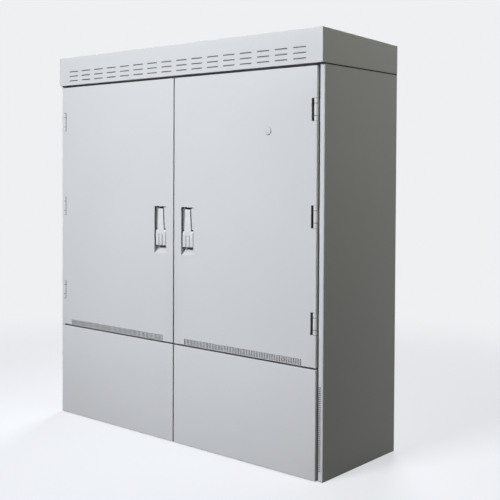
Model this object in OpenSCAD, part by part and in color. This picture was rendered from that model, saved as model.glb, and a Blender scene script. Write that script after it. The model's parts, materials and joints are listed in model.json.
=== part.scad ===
// Roadside utility cabinet: two doors over two base panels, under a ventilated hood.
// X runs to the right, -Y is the front, +Z is up. The origin is at the middle of the footprint.

/* [Overall] */
// Width of the body and the hood
overall_w = 1475; // [1300:5:1650]
// Depth from the front of the hood to the back
overall_d = 510; // [470:5:600]
// Height of the body, from the ground to the lower edge of the hood
body_h = 1500; // [1400:5:1600]
// Height of the hood at its front
hood_front_h = 126; // [115:1:160]
// Height of the hood at its rear
hood_rear_h = 111; // [90:1:115]

/* [Sheet metal] */
// Thickness of the sheet
sheet_t = 2; // [1.5:0.1:2.5]
// Outer radius of a fold
bend_r = 2.6; // [2.6:0.1:4]
// Depth of the folds on the rails, the posts and the floor
fold_depth = 24; // [16:1:30]

/* [Front layout] */
// How far the hood stands in front of the doors
hood_step = 1.2; // [1.1:0.1:6]
// Width of the strip beside each door
strip_w = 22; // [18:0.5:26]
// How far the strips lie behind the face of the doors
strip_set = 13; // [13:0.5:16]
// Gap between a door and the strip beside it
side_gap = 1.5; // [1.5:0.1:5]
// Gap between the two doors
centre_gap = 5; // [3:0.5:7]
// Gap between the hood and the doors
hood_gap = 10; // [6:0.5:14]
// Height of the lower edge of the doors
door_bottom_z = 409; // [380:1:440]
// Gap between the doors and the base panels
panel_gap = 6; // [4:0.5:9]
// Height of the base panels above the ground
panel_lift = 3; // [2:0.5:10]
// Gap between the hood and the side panels
hood_side_gap = 5.5; // [2:0.5:6]
// How far the rear panel lies inside the edges of the side panels
rear_set = 3; // [2.5:0.5:6]

/* [Doors] */
// Depth of a door
door_depth = 27; // [25:0.5:30]
// Width of the lip along the hinges
hinge_lip = 44; // [42:1:60]
// Width of the lip along the lock
lock_lip = 21; // [20:0.5:22]
// Width of the lip along the top
top_lip = 44; // [42:1:55]
// Width of the lip along the bottom
bottom_lip = 70; // [66:1:85]
// Width of the gasket
gasket_w = 12; // [8:0.5:12]
// Thickness of the gasket
gasket_t = 8; // [6:0.5:10]
// Gap between the gasket and the frame
seal_gap = 0.3; // [0.2:0.1:0.6]
// Height of the stiffeners above the lower edge of the door
stiffener_z = [230, 770]; // [150:5:820]
// Width of the crown of a stiffener
stiffener_w = 60; // [40:1:80]
// Depth of a stiffener
stiffener_depth = 18; // [12:1:20]
// Diameter of the plug in the right door
plug_d = 28; // [20:1:40]
// How far the crown of the plug stands out of the door
plug_crown = 1; // [0.5:0.1:1]
// Distance of the plug from the middle of the cabinet
plug_x = 490; // [300:5:600]
// Distance of the plug below the upper edge of the door
plug_z = 227; // [200:1:260]

/* [Hinges] */
// Height of a hinge
hinge_h = 80; // [70:1:100]
// Height of the lowest hinge above the lower edge of the door
hinge_low = 159; // [140:1:200]
// Distance of the highest hinge below the upper edge of the door
hinge_top = 156; // [140:1:200]
// Outer radius of the knuckles
knuckle_r = 8.5; // [6:0.1:8.5]
// Height of the knuckle that belongs to the door
knuckle_h = 42; // [36:1:46]
// Radius of the hinge pin
pin_r = 3; // [2.5:0.1:3.5]
// Radial clearance of every pin and shaft in its bore
run_gap = 0.05; // [0.03:0.01:0.09]
// Distance of the hinge axis from the edge of the door
hinge_in = 9; // [8.7:0.1:9]
// Depth of the hinge axis behind the face of the door
hinge_deep = 9; // [8.7:0.1:9]
// Width of the cut-out for a hinge
hinge_cut = 24; // [22:0.5:26]
// Thickness of a hinge leaf
leaf_t = 3; // [2.5:0.1:3]

/* [Handles] */
// Width of the recess
recess_w = 68; // [66:0.5:76]
// Height of the recess
recess_h = 193; // [186:1:210]
// Depth of the recess
recess_depth = 29; // [29:0.5:32]
// Distance of the recess from the middle of the cabinet
recess_x = 43.5; // [42.5:0.5:50]
// Height of the lower edge of the recess above the lower edge of the door
recess_z = 365; // [340:1:390]
// Thickness of the wall of the dish
dish_t = 2.5; // [2:0.1:2.5]
// Width of the rim of the dish behind the door
dish_rim = 6; // [4:0.5:10]
// Depth of the lever's axis behind the face of the door
pivot_deep = 18; // [17.8:0.1:18.4]
// Distance of the lever's axis below the upper edge of the recess
pivot_drop = 21; // [20.6:0.1:26]
// Radius of the lever's shaft
shaft_r = 4; // [3.5:0.1:4.5]
// Radius of the lever's hub
hub_r = 10; // [8.5:0.1:10.2]
// Depth of the lever's front behind the face of the door
lever_set = 0.5; // [0.3:0.1:1]
// Half the width of the neck at its top
neck_r = 13; // [10:0.5:15]
// Half the width of the neck at the shoulders
shoulder_r = 20; // [14:0.5:22]
// Radius of each of the three ribs of the grip
rib_r = 20; // [12:0.5:30]
// Distance from one rib to the next
rib_pitch = 19.2; // [17:0.1:19.8]
// Width of the grip
grip_w = 58; // [54:0.5:62]
// Height of the grip, up to the shoulders
grip_h = 56; // [45:1:70]
// Free height under the lever, for the fingers
finger_h = 32; // [31:1:40]
// Thickness of the lever
lever_t = 14; // [12:0.5:16]
// Depth of the ledges beside the lever, behind the face of the door
ledge_deep = 11; // [8:0.5:13]
// Angle that the lever folds out by, in degrees
lever_turn = 75; // [45:1:75]

/* [Lock] */
// Module of the rack and the pinion
gear_module = 1.5; // [1.5:0.01:1.52]
// Play between the teeth
backlash = 0.3; // [0.2:0.05:0.4]
// Width of the rods
rod_w = 8; // [6:0.5:8.5]
// Thickness of the rods
rod_t = 6; // [5:0.5:6]
// Clearance of the rods in their guides
rod_gap = 0.3; // [0.2:0.05:0.5]
// Height of the lock case
case_h = 84; // [80:1:100]
// Width of the lock case
case_w = 15.5; // [14.5:0.1:16]
// Height of a rod guide
guide_h = 12; // [10:0.5:12.5]

/* [Vents] */
// Columns of slots in the hood
hood_cols = 16; // [12:1:16]
// Rows of slots in the hood
hood_rows = 3; // [1:1:4]
// Length of a slot in the hood
hood_slot_l = 58.5; // [40:0.5:62]
// Height of a slot in the hood
hood_slot_h = 4.5; // [3:0.1:6]
// Distance from one column of slots to the next
hood_col_pitch = 84.8; // [76:0.2:84.8]
// Distance from one row of slots to the next
hood_row_pitch = 20.4; // [14:0.2:22]
// Height of the lowest row above the lower edge of the hood
hood_row_z = 19.3; // [16:0.1:22]
// Length of the slot vent in a door
door_vent_l = 592; // [400:1:600]
// Height of the slots in a door
door_slot_h = 23; // [12:0.5:24]
// Width of a slot in a door
door_slot_w = 4; // [2.5:0.1:4.5]
// Distance from one slot in a door to the next
door_slot_pitch = 8; // [7:0.1:12]
// Height of the slots above the lower edge of the door
door_slot_z = 3; // [2.5:0.1:6]
// Distance of the door vent from the middle of the cabinet
door_vent_x = 62; // [50:1:70]
// Height of the lower end of the strip vent
strip_vent_z = 37; // [30:1:60]
// Length of the strip vent
strip_vent_l = 312; // [200:1:315]
// Width of the slots in the strip vent
strip_slot_w = 11; // [8:0.5:13]
// Height of a slot in the strip vent
strip_slot_h = 3.4; // [2:0.1:4]
// Distance from one slot in the strip vent to the next
strip_slot_pitch = 7; // [6:0.1:12]

/* [Frame] */
// Width of the lip that the hinge side of a door seals on
side_lip = 49; // [48:0.5:50]
// Width of the lip that the top of the doors seals on
top_seal = 22; // [20:0.5:23]
// Width of the lip that the bottom of the doors seals on
bottom_seal = 49; // [47:0.5:50]
// How far the middle rail reaches below the doors
rail_drop = 37; // [30:1:60]
// Width of the centre post
post_w = 44; // [40:0.5:45]
// Height of the base frame
base_h = 60; // [40:1:90]
// Width of the foot flange of the base frame
base_foot = 70; // [55:1:90]
// Thickness of the base frame
base_t = 4; // [3:0.5:6]
// Radius of the anchor holes
anchor_r = 9; // [6:0.5:10]
// Distance between the anchor holes across the cabinet
anchor_x = 1300; // [1000:10:1300]
// Height of the upstand round the roof deck
deck_upstand = 45; // [30:1:60]

/* [Inside] */
// Diameter of the cable grommets in the floor
grommet_d = 70; // [40:1:90]
// Number of cable grommets
grommet_count = 6; // [2:1:8]
// Distance from one grommet to the next
grommet_pitch = 180; // [120:5:180]
// Width of the mounting rails
rail_w = 50; // [40:1:60]
// Depth of the mounting rails
rail_depth = 25; // [20:1:40]
// Width of the mounting plate
plate_w = 1240; // [900:10:1300]
// Height of the mounting plate
plate_h = 860; // [600:10:900]
// Distance of the mounting plate from the rear panel
plate_off = 34; // [25:1:50]
// Length of the earth bar
earth_l = 300; // [200:10:500]
// Height of the section of the earth bar
earth_h = 25; // [20:1:40]
// Thickness of the earth bar
earth_t = 6; // [4:0.5:10]
// Distance of the earth bar from the rear panel
earth_off = 30; // [20:1:40]
// Width of the cable clamp rail
clamp_w = 30; // [25:1:40]
// Distance of the cable clamp rail below the floor
clamp_drop = 122; // [90:1:200]
// Length of a vent opening in the roof deck
deck_vent_l = 420; // [200:10:500]
// Width of a vent opening in the roof deck
deck_vent_w = 140; // [80:5:200]
// Height of the collar round a vent opening
deck_collar = 18; // [10:1:24]

/* [Hidden] */
$fn = 48;
// Reach of a cut past the face it starts from
cut = 1;
paint = [0.80, 0.81, 0.82];
zinc = [0.66, 0.68, 0.70];
rubber = [0.10, 0.10, 0.11];
casting = [0.74, 0.76, 0.77];
copper = [0.72, 0.45, 0.25];

half_w = overall_w / 2;
front_y = -overall_d / 2;
back_y = overall_d / 2;
door_y = front_y + hood_step;
strip_y = door_y + strip_set;
seal_y = door_y + door_depth + gasket_t + seal_gap;
inner_y = seal_y + sheet_t;
wall_in = half_w - sheet_t;
strip_in = half_w - strip_w;
door_out = strip_in - side_gap;
door_in = centre_gap / 2;
door_top_z = body_h - hood_gap;
panel_top_z = door_bottom_z - panel_gap;
side_top_z = body_h - hood_side_gap;
lip_in = strip_in - side_lip;

// Rear panel, and the depth that its folds leave free inside
rear_gap = 0.5;
rear_y = back_y - rear_set;
rear_fold = 20;
inside_back = rear_y - rear_fold - rear_gap;
screw_r = 5;
screw_h = 2.4;
screw_rows = 6;

// Rails and posts of the front frame
top_seal_z = door_top_z - top_seal;
rail_top_z = door_bottom_z + bottom_seal;
rail_low_z = door_bottom_z - rail_drop;
deck_z = door_top_z - sheet_t;
floor_z = door_bottom_z - sheet_t;

// Openings of the roof deck and the floor
deck_vent_xs = [-wall_in / 2, wall_in / 2];
grommet_xs = [for (i = [0:grommet_count - 1]) (i - (grommet_count - 1) / 2) * grommet_pitch];

// Gasket ring, each side in the middle of the lip that it presses on
seal_over = 4;
post_over = 2;
gasket_out = lip_in + seal_over + gasket_w;
gasket_in = post_w / 2 - post_over - gasket_w;
gasket_top = top_seal_z + seal_over + gasket_w;
gasket_low = rail_top_z - seal_over - gasket_w;

// Hinges
hinge_x = door_out - hinge_in;
hinge_y = door_y + hinge_deep;
hinge_ends = [door_bottom_z + hinge_low, door_top_z - hinge_top];
hinge_zs = [hinge_ends[0], (hinge_ends[0] + hinge_ends[1]) / 2, hinge_ends[1]];
hinge_room = 1;
knuckle_gap = 0.3;
arm_y = hinge_y + knuckle_r - leaf_t;
short_h = (hinge_h - knuckle_h) / 2 - knuckle_gap;

// Hole of the plug
plug_bore_r = plug_d * 0.39;

// Handle and lock
recess_low = door_bottom_z + recess_z;
recess_top = recess_low + recess_h;
recess_mid = recess_x + recess_w / 2;
dish_in = recess_x - dish_t;
dish_out = recess_x + recess_w + dish_t;
pivot_y = door_y + pivot_deep;
pivot_z = recess_top - pivot_drop;
lever_low = recess_low + finger_h;
lever_y = door_y + lever_set;
shoulder_z = lever_low + grip_h;
neck_over = 12;
ledge_room = 1.5;
neck_round = 5;
neck_crown = 80;
rib_round = 10;
lever_edge = 1.5;
rib_top = shoulder_z + rib_round;
gear_teeth = 12;
pressure = 25;
pitch_r = gear_teeth * gear_module / 2;
addendum = 0.9 * gear_module;
dedendum = 1.2 * gear_module;
rod_travel = pitch_r * lever_turn * PI / 180;
case_in = dish_in - case_w;
case_t = 2;
rod_x = (case_in + dish_in) / 2;
rod_clear = 0.7;
rod_y = inner_y + rod_clear;
rod_tip_gap = 1;
crank = 40;
case_deep = pivot_deep + pitch_r + dedendum + rod_t + rod_gap + case_t;
guide_wall = 3;

// Steps of an arc on a fold
bend_steps = 5;

// Geometry helpers
function unit(v) = v / norm(v);
function left_of(v) = [-v[1], v[0]];
function cross2(a, b) = a[0] * b[1] - a[1] * b[0];

// One corner of an outline, rounded to radius r
function corner(a, b, c, r) =
    let (u = unit(a - b), w = unit(c - b), half = acos(u * w) / 2)
    r <= 0.01 ? [b] :
    let (t = r / tan(half), mid = b + unit(u + w) * r / sin(half))
    let (p = b + u * t - mid, q = b + w * t - mid, turn = sign(cross2(p, q)) * acos(p * q / (r * r)))
    [for (i = [0:bend_steps]) let (k = turn * i / bend_steps)
        mid + [p[0] * cos(k) - p[1] * sin(k), p[0] * sin(k) + p[1] * cos(k)]];

// A closed outline with one radius for each corner
function rounded(pts, radii) =
    let (n = len(pts))
    [for (i = [0:n - 1]) each corner(pts[(i + n - 1) % n], pts[i], pts[(i + 1) % n], radii[i])];

// The outline of a folded sheet: its face follows path, and its thickness t lies to the left of it
function folded(path, t, r) =
    let (n = len(path), dirs = [for (i = [0:n - 2]) unit(path[i + 1] - path[i])])
    let (turns = [for (i = [1:n - 2]) sign(cross2(dirs[i - 1], dirs[i]))])
    let (back = [for (i = [0:n - 1])
        i == 0 ? path[0] + left_of(dirs[0]) * t :
        i == n - 1 ? path[i] + left_of(dirs[n - 2]) * t :
        let (m = left_of(dirs[i - 1]) + left_of(dirs[i])) path[i] + m * t / (1 + dirs[i - 1] * dirs[i])])
    let (face_r = [for (s = turns) s > 0 ? r : r - t], back_r = [for (s = turns) s > 0 ? r - t : r])
    rounded(
        concat(path, [for (i = [n - 1:-1:0]) back[i]]),
        concat([0], face_r, [0, 0], [for (i = [n - 3:-1:0]) back_r[i]], [0]));

// Extrusions of an outline along one axis, from a to b
module along_x(a, b) { translate([a, 0, 0]) rotate([90, 0, 90]) linear_extrude(b - a) children(); }
module along_y(a, b) { translate([0, b, 0]) rotate([90, 0, 0]) linear_extrude(b - a) children(); }
module along_z(a, b) { translate([0, 0, a]) linear_extrude(b - a) children(); }

// A box from its lowest to its highest corner
module box(low, high) { translate(low) cube(high - low); }

// What is drawn for the right side, on side s
module on_side(s) {
    if (s > 0) children();
    else mirror([1, 0, 0]) children();
}

// A folded tray that opens to the rear: its face, four folds and four lips
module tray(x0, x1, z0, z1, depth, lips) {
    y0 = door_y;
    y1 = door_y + depth;
    difference() {
        intersection() {
            along_z(z0, z1)
                polygon(rounded([[x0, y1], [x0, y0], [x1, y0], [x1, y1]], [0, bend_r, bend_r, 0]));
            along_x(x0, x1)
                polygon(rounded([[y1, z0], [y1, z1], [y0, z1], [y0, z0]], [0, 0, bend_r, bend_r]));
        }
        difference() {
            box([x0 + sheet_t, y0 + sheet_t, z0 + sheet_t], [x1 - sheet_t, y1 - sheet_t, z1 - sheet_t]);
            children();
        }
        box([x0 + lips[0], y1 - sheet_t - cut, z0 + lips[2]], [x1 - lips[1], y1 + cut, z1 - lips[3]]);
    }
}

// A folded pan that opens upward: a floor and four walls, folded with round edges, about the middle in X
module pan(w, y0, y1, h, t) {
    r = t + bend_r - sheet_t;
    difference() {
        intersection() {
            along_x(-w, w) polygon(rounded([[y0, 0], [y1, 0], [y1, h], [y0, h]], [r, r, 0, 0]));
            along_y(y0, y1) polygon(rounded([[-w, 0], [w, 0], [w, h], [-w, h]], [r, r, 0, 0]));
        }
        box([-w + t, y0 + t, t], [w - t, y1 - t, h + cut]);
    }
}

// Body

module base_frame() {
    w = wall_in - base_foot;
    color(zinc) difference() {
        box([-wall_in, inner_y, 0], [wall_in, inside_back, base_h]);
        box([-wall_in + base_t, inner_y + base_t, base_t],
            [wall_in - base_t, inside_back - base_t, base_h + cut]);
        box([-w, inner_y + base_foot, -cut], [w, inside_back - base_foot, base_h]);
        for (x = [-anchor_x / 2, anchor_x / 2], y = [inner_y + base_foot / 2, inside_back - base_foot / 2])
            translate([x, y, -cut]) cylinder(r = anchor_r, h = base_t + 2 * cut);
    }
}

module side_panel(s) {
    side_fold = rear_set + rear_fold - rear_gap;
    vent_x = strip_in + bend_r;
    outline = folded(
        [[strip_in, back_y - side_fold], [strip_in, back_y], [half_w, back_y], [half_w, strip_y],
         [strip_in, strip_y], [strip_in, seal_y], [lip_in, seal_y]],
        -sheet_t, bend_r);
    slots = floor(strip_vent_l / strip_slot_pitch);
    color(paint) on_side(s) difference() {
        along_z(0, side_top_z) polygon(outline);
        for (i = [0:slots - 1])
            translate([vent_x, strip_y - cut, strip_vent_z + i * strip_slot_pitch])
                cube([strip_slot_w, sheet_t + 2 * cut, strip_slot_h]);
    }
}

module rear_panel() {
    color(paint) translate([0, rear_y, 0]) rotate([90, 0, 0])
        pan(strip_in - rear_gap, panel_lift, side_top_z, rear_fold, sheet_t);
}

module rear_screws() {
    inset = 14;
    step = (side_top_z - panel_lift - 2 * inset) / (screw_rows - 1);
    color(zinc) for (s = [-1, 1], i = [0:screw_rows - 1])
        translate([s * (strip_in - rear_gap - inset), rear_y, panel_lift + inset + i * step])
            rotate([-90, 0, 0]) difference() {
                cylinder(r1 = screw_r, r2 = screw_r * 0.7, h = screw_h);
                translate([0, 0, screw_h / 2]) cylinder(r = screw_r * 0.4, h = screw_h, $fn = 6);
            }
}

module floor_plate() {
    color(zinc) difference() {
        translate([0, 0, floor_z]) mirror([0, 0, 1]) pan(wall_in, inner_y, inside_back, fold_depth, sheet_t);
        for (x = grommet_xs)
            translate([x, 0, floor_z - sheet_t - cut]) cylinder(d = grommet_d, h = sheet_t + 2 * cut);
    }
}

module cable_grommets() {
    lip = grommet_d / 14;
    r = grommet_d / 2;
    profile = [
        [r - 2 * lip, -sheet_t - lip], [r + lip, -sheet_t - lip], [r + lip, -sheet_t], [r, -sheet_t],
        [r, 0], [r + lip, 0], [r, lip], [r - 2 * lip, lip]
    ];
    color(rubber) for (x = grommet_xs)
        translate([x, 0, floor_z]) rotate_extrude() polygon(profile);
}

module roof_deck() {
    hole = [deck_vent_l, deck_vent_w] / 2 + [sheet_t, sheet_t];
    color(zinc) translate([0, 0, deck_z]) difference() {
        pan(wall_in, inner_y, inside_back, deck_upstand, sheet_t);
        for (x = deck_vent_xs)
            box([x - hole[0], -hole[1], -cut], [x + hole[0], hole[1], sheet_t + cut]);
    }
}

// Collars that stand in the openings of the roof deck, each on a flange
module roof_vent_collars() {
    flange = 12;
    vent = [deck_vent_l, deck_vent_w] / 2;
    wall = vent + [sheet_t, sheet_t];
    brim = wall + [flange, flange];
    color(zinc) for (x = deck_vent_xs) translate([x, 0, deck_z]) difference() {
        union() {
            box([-wall[0], -wall[1], 0], [wall[0], wall[1], deck_collar]);
            box([-brim[0], -brim[1], sheet_t], [brim[0], brim[1], 2 * sheet_t]);
        }
        box([-vent[0], -vent[1], -cut], [vent[0], vent[1], deck_collar + cut]);
    }
}

// The hood's outer form, or with a wall its hollow
module hood_form(wall) {
    fall = atan((hood_front_h - hood_rear_h) / overall_d);
    w = half_w - wall;
    deep = 2 * hood_front_h;
    y0 = front_y + wall;
    y1 = back_y - wall;
    low = body_h - (wall > 0 ? cut : 0);
    top0 = body_h + hood_front_h - wall;
    top1 = body_h + hood_rear_h - wall;
    r = bend_r - wall;
    intersection() {
        along_x(-w, w) polygon(rounded([[y0, low], [y1, low], [y1, top1], [y0, top0]], [0, 0, r, r]));
        along_z(low, top0) polygon(rounded([[-w, y0], [w, y0], [w, y1], [-w, y1]], [r, r, r, r]));
        translate([0, y0, top0]) rotate([-fall, 0, 0]) along_y(-overall_d / 2, overall_d * 1.5)
            polygon(rounded([[-w, -deep], [w, -deep], [w, 0], [-w, 0]], [0, 0, r, r]));
    }
}

module hood_slot() {
    r = hood_slot_h / 2;
    square([hood_slot_l - hood_slot_h, hood_slot_h], center = true);
    for (x = [-1, 1] * (hood_slot_l / 2 - r)) translate([x, 0]) circle(r);
}

module roof_hood() {
    front_lip = 14;
    slot_z = body_h + hood_row_z;
    color(paint) {
        difference() {
            hood_form(0);
            hood_form(sheet_t);
            along_y(front_y - cut, front_y + sheet_t + cut)
                for (i = [0:hood_cols - 1], j = [0:hood_rows - 1])
                    translate([(i - (hood_cols - 1) / 2) * hood_col_pitch, slot_z + j * hood_row_pitch])
                        hood_slot();
        }
        box([-half_w + bend_r, front_y + sheet_t / 2, body_h],
            [half_w - bend_r, front_y + front_lip, body_h + sheet_t]);
    }
}

// Rubber strips that close the gap between the hood and the side panels, a little behind their faces
module hood_seals() {
    seal_set = 0.8;
    color(rubber) for (s = [-1, 1]) on_side(s)
        box([wall_in, strip_y + bend_r, side_top_z], [half_w - seal_set, back_y - bend_r, body_h]);
}

module top_rail() {
    path = [[seal_y, top_seal_z], [seal_y, deck_z], [seal_y + fold_depth, deck_z]];
    color(paint) along_x(-lip_in, lip_in) polygon(folded(path, -sheet_t, bend_r));
}

module middle_rail() {
    path = [
        [seal_y + fold_depth, rail_low_z], [seal_y, rail_low_z],
        [seal_y, rail_top_z], [seal_y + fold_depth, rail_top_z]
    ];
    color(paint) along_x(-lip_in, lip_in) polygon(folded(path, -sheet_t, bend_r));
}

module post(z0, z1) {
    w = post_w / 2;
    path = [[-w, seal_y + fold_depth], [-w, seal_y], [w, seal_y], [w, seal_y + fold_depth]];
    color(paint) along_z(z0, z1) polygon(folded(path, sheet_t, bend_r));
}

module centre_post() { post(rail_top_z, top_seal_z); }
module base_post() { post(base_h, rail_low_z); }

module base_panel(s) {
    lip = 30;
    deep = seal_y - seal_gap - door_y;
    color(paint) on_side(s)
        tray(door_in, door_out, panel_lift, panel_top_z, deep, [lip / 2, lip, lip, lip]);
}

// Doors

// Room for the hinges at the edge of a door, grown by a margin
module hinge_rooms(margin) {
    half_h = hinge_h / 2 + hinge_room + margin;
    reach = cut + margin;
    for (z = hinge_zs)
        box([door_out - hinge_cut - margin, door_y - reach, z - half_h],
            [door_out + reach, door_y + door_depth + reach, z + half_h]);
}

module recess_cut(y0, y1) {
    r = 2;
    along_y(y0, y1) polygon(rounded(
        [[recess_x, recess_low], [recess_x + recess_w, recess_low],
         [recess_x + recess_w, recess_top], [recess_x, recess_top]], [r, r, r, r]));
}

module door(s) {
    slots = floor(door_vent_l / door_slot_pitch);
    lips = [lock_lip, hinge_lip, bottom_lip, top_lip];
    color(paint) on_side(s) difference() {
        tray(door_in, door_out, door_bottom_z, door_top_z, door_depth, lips) hinge_rooms(sheet_t);
        hinge_rooms(0);
        recess_cut(door_y - cut, door_y + sheet_t + cut);
        for (i = [0:slots - 1])
            translate([door_vent_x + i * door_slot_pitch, door_y - cut, door_bottom_z + door_slot_z])
                cube([door_slot_w, sheet_t + 2 * cut, door_slot_h]);
        if (s > 0)
            translate([plug_x, door_y - cut, door_top_z - plug_z]) rotate([-90, 0, 0])
                cylinder(r = plug_bore_r, h = sheet_t + 2 * cut);
    }
}

// A snap-in plug: a domed head, a stem in the hole, and a bead behind the sheet
module door_plug() {
    stem = 6;
    bead = 0.6;
    edge = 0.3;
    r = plug_d / 2;
    stem_r = plug_bore_r - run_gap;
    dome_r = (r * r + plug_crown * plug_crown - edge * edge) / (2 * (plug_crown - edge));
    profile = [
        for (i = [bend_steps:-1:0]) let (x = r * i / bend_steps)
            [x, plug_crown - dome_r + sqrt(dome_r * dome_r - x * x)],
        [0, -stem], [stem_r - bead, -stem], [stem_r + bead, -sheet_t - bead], [stem_r, -sheet_t],
        [stem_r, 0], [r, 0]
    ];
    color(casting) translate([plug_x, door_y, door_top_z - plug_z]) rotate([90, 0, 0])
        rotate_extrude() polygon(profile);
}

module door_gasket(s) {
    y0 = door_y + door_depth;
    color(rubber) on_side(s) difference() {
        box([gasket_in, y0, gasket_low], [gasket_out, y0 + gasket_t, gasket_top]);
        box([gasket_in + gasket_w, y0 - cut, gasket_low + gasket_w],
            [gasket_out - gasket_w, y0 + gasket_t + cut, gasket_top - gasket_w]);
    }
}

module door_stiffeners(s) {
    brim = 15;
    y0 = door_y + sheet_t;
    w = stiffener_w / 2;
    path = [
        [y0 + sheet_t, -w - brim], [y0 + sheet_t, -w], [y0 + stiffener_depth, -w],
        [y0 + stiffener_depth, w], [y0 + sheet_t, w], [y0 + sheet_t, w + brim]
    ];
    color(zinc) on_side(s) for (z = stiffener_z)
        along_x(dish_out + dish_rim + brim, door_out - hinge_lip - brim)
            translate([0, door_bottom_z + z]) polygon(folded(path, sheet_t, bend_r));
}

// Hinges

module knuckle(z0, z1) {
    translate([hinge_x, hinge_y, z0]) cylinder(r = knuckle_r, h = z1 - z0);
}

module pin_bore(r) {
    translate([hinge_x, hinge_y, hinge_zs[0] - hinge_h])
        cylinder(r = r, h = hinge_zs[2] - hinge_zs[0] + 2 * hinge_h);
}

module hinge_frame_leaves(s) {
    low_x = strip_in - leaf_t;
    color(zinc) on_side(s) difference() {
        for (z = hinge_zs) {
            for (k = [-1, 1]) {
                low_z = z + k * (hinge_h - short_h) / 2 - short_h / 2;
                knuckle(low_z, low_z + short_h);
                box([hinge_x, arm_y, low_z], [strip_in, arm_y + leaf_t, low_z + short_h]);
            }
            box([low_x, arm_y, z - hinge_h / 2], [strip_in, seal_y - bend_r, z + hinge_h / 2]);
        }
        pin_bore(pin_r);
    }
}

module hinge_door_leaves(s) {
    low_x = door_out - hinge_cut;
    high_x = low_x + leaf_t;
    color(zinc) on_side(s) difference() {
        for (z = hinge_zs) {
            knuckle(z - knuckle_h / 2, z + knuckle_h / 2);
            box([low_x, arm_y, z - knuckle_h / 2], [hinge_x, arm_y + leaf_t, z + knuckle_h / 2]);
            box([low_x, door_y + bend_r, z - hinge_h / 2], [high_x, door_y + door_depth, z + hinge_h / 2]);
        }
        pin_bore(pin_r + run_gap);
    }
}

module hinge_pins(s) {
    color(zinc) on_side(s) for (z = hinge_zs)
        translate([hinge_x, hinge_y, z - hinge_h / 2]) cylinder(r = pin_r, h = hinge_h);
}

// Handles

module handle_dish(s) {
    y0 = door_y + sheet_t;
    y1 = door_y + recess_depth;
    ramp = recess_depth - sheet_t;
    path = [[y0, recess_low], [y1, recess_low + ramp], [y1, recess_top], [y0, recess_top]];
    wall = folded(path, -dish_t, dish_t * 1.2);
    low = recess_low - dish_t;
    top = recess_top + dish_t;
    cheek = [[y0, low], [y0 + 2 * dish_t, low], [y1 + dish_t, low + ramp], [y1 + dish_t, top], [y0, top]];
    rim = dish_t;
    ledge_w = recess_w / 2 - shoulder_r - ledge_room;
    ledge_z = rib_top + 2 * ledge_room;
    color(casting) on_side(s) difference() {
        union() {
            for (x = [dish_in, dish_out - dish_t - ledge_w])
                box([x, door_y + ledge_deep, ledge_z], [x + dish_t + ledge_w, y1 + dish_t, top]);
            along_x(dish_in, dish_out) polygon(wall);
            along_x(dish_in, recess_x) polygon(cheek);
            along_x(dish_out - dish_t, dish_out) polygon(cheek);
            difference() {
                box([dish_in, y0, recess_low - dish_rim],
                    [dish_out + dish_rim, y0 + rim, recess_top + dish_rim]);
                box([recess_x, y0 - cut, recess_low], [recess_x + recess_w, y0 + rim + cut, recess_top]);
            }
        }
        translate([dish_in - cut, pivot_y, pivot_z]) rotate([0, 90, 0])
            cylinder(r = shaft_r + run_gap, h = dish_out - dish_in + 2 * cut);
    }
}

// A rib of the grip: a round bar with a rounded upper end
module rib(x) {
    profile = rounded(
        [[0, lever_low], [rib_r, lever_low], [rib_r, rib_top], [0, rib_top]], [0, lever_edge, rib_round, 0]);
    translate([x, lever_y + rib_r, 0]) rotate_extrude() polygon(profile);
}

// The neck of the lever: a crowned plate that narrows towards the pivot
module neck() {
    back = lever_y + lever_t;
    low = shoulder_z - rib_round;
    top = pivot_z + neck_over;
    front_view = [
        [recess_mid - shoulder_r, low], [recess_mid + shoulder_r, low],
        [recess_mid + neck_r, top], [recess_mid - neck_r, top]
    ];
    side_view = rounded([[lever_y, low], [back, low], [back, top], [lever_y, top]], [0, 0, 0, neck_round]);
    intersection() {
        along_y(lever_y - cut, back) polygon(front_view);
        along_x(recess_x, recess_x + recess_w) polygon(side_view);
        translate([recess_mid, lever_y + neck_crown, low - cut]) cylinder(r = neck_crown, h = recess_h);
    }
}

module lever(s) {
    hub_w = 2 * neck_r;
    grip_x = [recess_mid - grip_w / 2, recess_mid + grip_w / 2];
    color(casting) on_side(s) difference() {
        union() {
            intersection() {
                for (i = [-1:1]) rib(recess_mid + i * rib_pitch);
                box([grip_x[0], lever_y - cut, lever_low - cut],
                    [grip_x[1], lever_y + lever_t, rib_top + cut]);
            }
            neck();
            translate([recess_mid - hub_w / 2, pivot_y, pivot_z]) rotate([0, 90, 0])
                cylinder(r = hub_r, h = hub_w);
        }
        translate([recess_mid - hub_w, pivot_y, pivot_z]) rotate([0, 90, 0])
            cylinder(r = shaft_r, h = 2 * hub_w);
    }
}

module lever_shaft(s) {
    head = shaft_r / 2;
    end = dish_out + seal_gap - case_in;
    color(zinc) on_side(s) translate([case_in, pivot_y, pivot_z]) rotate([0, 90, 0]) {
        cylinder(r = shaft_r, h = end + head / 2);
        translate([0, 0, end]) cylinder(r = shaft_r + head, h = head);
    }
}

// Lock

function involute(a) = tan(a) - a * PI / 180;

// Half the angle of a pinion tooth at radius r
function tooth_half(r) =
    (PI / 2 - backlash / 2 / gear_module) / gear_teeth * 180 / PI
    + (involute(pressure) - involute(acos(pitch_r * cos(pressure) / r))) * 180 / PI;

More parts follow.
